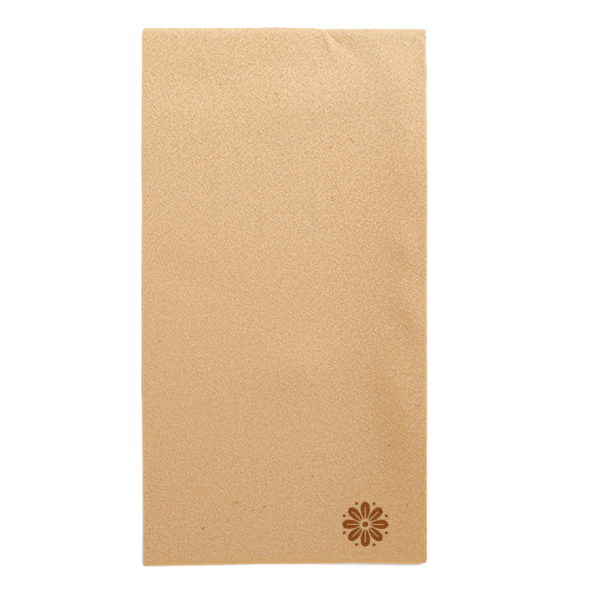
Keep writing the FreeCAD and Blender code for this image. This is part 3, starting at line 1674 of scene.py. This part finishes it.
    def _ink(self, bench: NodeBench, place: Socket, rosette: RosettePrint) -> Value:
        """Share of the surface that the ink covers, less in random patches."""
        moved = bench.vector("ADD", place, bench.stray(place, *self.print_stray))
        cover = self.print_least + self.print_cover.value(bench, place)
        return rosette.mask(bench, moved) * cover


# ---- the studio ----


@dataclass(frozen=True)
class Lamp:
    """A soft square lamp aimed at the napkin.

    Attributes:
        name: The lamp's name.
        place: Where it hangs, in metres.
        size: Side of its square, in metres.
        power: Power in watts.
        colour: Colour of its light.
    """

    name: str
    place: Triple
    size: float
    power: float
    colour: Colour

    def hang(self) -> None:
        """Adds the lamp to the scene."""
        data = bpy.data.lights.new(self.name, "AREA")
        data.shape, data.size = "SQUARE", self.size
        data.energy, data.color = self.power, self.colour
        lamp = bpy.data.objects.new(self.name, data)
        bpy.context.scene.collection.objects.link(lamp)
        lamp.location = self.place
        x, y, z = self.place
        lamp.rotation_euler = (math.atan2(math.hypot(x, y), z), 0.0, math.atan2(x, -y))


@dataclass(frozen=True)
class Studio:
    """A pale floor, soft lamps and a camera that looks straight down.

    Attributes:
        floor_half: Half the floor's side, in metres.
        floor_colour: Colour of the floor.
        floor_lift: Light added to the floor for the camera, so that only shadow shows on it.
        floor_glow: Strength of the light that the bright floor gives besides its own bounce.
        painted_contact_shadow: Light that is left of the floor's lift where the napkin touches it:
            a painted shadow.
        contact_reach: How far the painted shadow of contact reaches, in millimetres.
        contact_open: Share of open sky at which that painted shadow is full, and at which it is
            gone.
        ring_light: Light that stands all round, low down.
        ring_top: How high it reaches, as the sine of the elevation.
        ring_blur: How softly it ends there, likewise.
        ceiling_light: Light above it.
        lamps: The lamps.
    """

    floor_half: float = 0.9
    floor_colour: Colour = (0.75, 0.80, 0.87)
    floor_lift: Colour = (0.70, 0.78, 0.88)
    floor_glow: float = 0.45
    painted_contact_shadow: Colour = (0.06, 0.21, 0.33)
    contact_reach: float = 2.2
    contact_open: Pair = (0.65, 0.98)
    ring_light: Colour = (1.45, 1.28, 1.04)
    ring_top: float = 0.45
    ring_blur: float = 0.08
    ceiling_light: Colour = (0.291, 0.178, 0.082)
    lamps: tuple[Lamp, ...] = (
        Lamp("key_lamp", (1.19, 0.93, 0.98), 0.5, 17.9, (0.706, 0.906, 1.07)),
        Lamp("top_lamp", (-0.03, 0.19, 0.25), 0.10, 0.37, (0.706, 0.906, 1.07)),
    )

    def build(self) -> None:
        """Adds the floor, the world and the lamps."""
        self._floor()
        self._world()
        for lamp in self.lamps:
            lamp.hang()

    @staticmethod
    def _seen(bench: NodeBench) -> Value:
        """1 for what the camera sees directly or in a gloss, and 0 for other light."""
        rays = bench.add("LightPath").outputs
        camera, glossy, through = (
            Value(bench, rays[f"Is {kind} Ray"]) for kind in ("Camera", "Glossy", "Transmission")
        )
        return bench.maths(MathOp.MAXIMUM, camera, bench.maths(MathOp.MAXIMUM, glossy, through))

    def _floor(self) -> None:
        """Adds the floor, which the camera sees as white with the napkin's shadow on it, painted
        darker near the napkin from ambient occlusion.
        """
        half = self.floor_half
        mesh = bpy.data.meshes.new("floor")
        corners = [(-half, -half, 0), (half, -half, 0), (half, half, 0), (-half, half, 0)]
        mesh.from_pydata(corners, [], [(0, 1, 2, 3)])
        material = bpy.data.materials.new("floor_white")
        material.use_nodes = True
        bench = NodeBench(material.node_tree)
        matt = bench.add("BsdfDiffuse", None, {"Color": self.floor_colour})
        # Painted shadow: the camera's white is darkened where ambient occlusion finds the napkin
        # close.
        reach = {"Distance": self.contact_reach * MM}
        contact = bench.add("AmbientOcclusion", {"samples": 8}, reach)
        open_share = bench.ramp(Value(bench, contact.outputs["AO"]), *self.contact_open)
        painted_shadow_lift = bench.blend(open_share, self.painted_contact_shadow, self.floor_lift)
        light = bench.blend(self._seen(bench), (self.floor_glow,) * 3, painted_shadow_lift)
        glow = bench.add("Emission", None, {"Color": light, "Strength": 1.0})
        both = bench.add("AddShader", None, {0: matt.outputs[0], 1: glow.outputs[0]})
        bench.add("OutputMaterial", None, {"Surface": both.outputs[0]})
        mesh.materials.append(material)
        floor = bpy.data.objects.new("floor", mesh)
        bpy.context.scene.collection.objects.link(floor)

    def _world(self) -> None:
        """Adds the soft light all round, which the camera sees as white."""
        world = bpy.data.worlds.new("pale_room")
        world.use_nodes = True
        bench = NodeBench(world.node_tree)
        seen = self._seen(bench)
        direction = bench.add("TexCoord").outputs["Generated"]
        up = Value(bench, bench.add("SeparateXYZ", None, {0: direction}).outputs["Z"])
        ring = bench.ramp(up, self.ring_top + self.ring_blur, self.ring_top - self.ring_blur)
        light = bench.blend(ring, self.ceiling_light, self.ring_light)
        light = bench.blend(seen, light, (1.0, 1.0, 1.0))
        sky = bench.add("Background", None, {"Color": light, "Strength": 1.0})
        bench.add("OutputWorld", None, {"Surface": sky.outputs[0]})
        bpy.context.scene.world = world


@dataclass(frozen=True)
class FlatCamera:
    """A camera with a long lens that looks straight down on the napkin.

    Attributes:
        view_width: Width of the view at the napkin's upper panel.
        middle_x: Where the view's middle is across the napkin.
        middle_y: Where the view's middle is along the napkin.
        lens: Focal length.
        sensor: Sensor width.
    """

    view_width: float = 226.45
    middle_x: float = 5.95
    middle_y: float = -1.19
    lens: float = 100.0
    sensor: float = 36.0

    def place(self, panel_height: float) -> None:
        """Adds the camera.

        Args:
            panel_height: Height of the upper panel over the floor.
        """
        data = bpy.data.cameras.new("camera")
        data.lens, data.sensor_width = self.lens, self.sensor
        data.clip_start, data.clip_end = 0.01, 50.0
        camera = bpy.data.objects.new("camera", data)
        bpy.context.scene.collection.objects.link(camera)
        distance = self.view_width * self.lens / self.sensor
        camera.location = (self.middle_x * MM, self.middle_y * MM, (panel_height + distance) * MM)
        bpy.context.scene.camera = camera


def main() -> None:
    """Builds the napkin and its studio."""
    logging.basicConfig(level=logging.INFO, format="%(name)s: %(message)s")
    bpy.context.scene.view_settings.view_transform = "Standard"
    low, high = (np.array(corner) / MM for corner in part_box("napkin"))
    width, length, height = (float(side) for side in high - low)
    strip = FoldedStrip(width, length, height)
    FlatCamera().place(height)
    Studio().build()

    sheet = NapkinSheet(strip, HandledShape()).build()
    sheet.data.materials.append(KraftPaper().material(strip, RosettePrint()))
    flat_width, flat_length = strip.opened_out()
    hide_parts("napkin")
    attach(sheet, "root")
    flat_width * MM
    flat_length * MM
    face_count = len(sheet.data.polygons)
    LOG.info("%s: %d faces, sheet %.1f x %.1f mm", sheet.name, face_count, flat_width, flat_length)


if __name__ == "__main__":
    main()
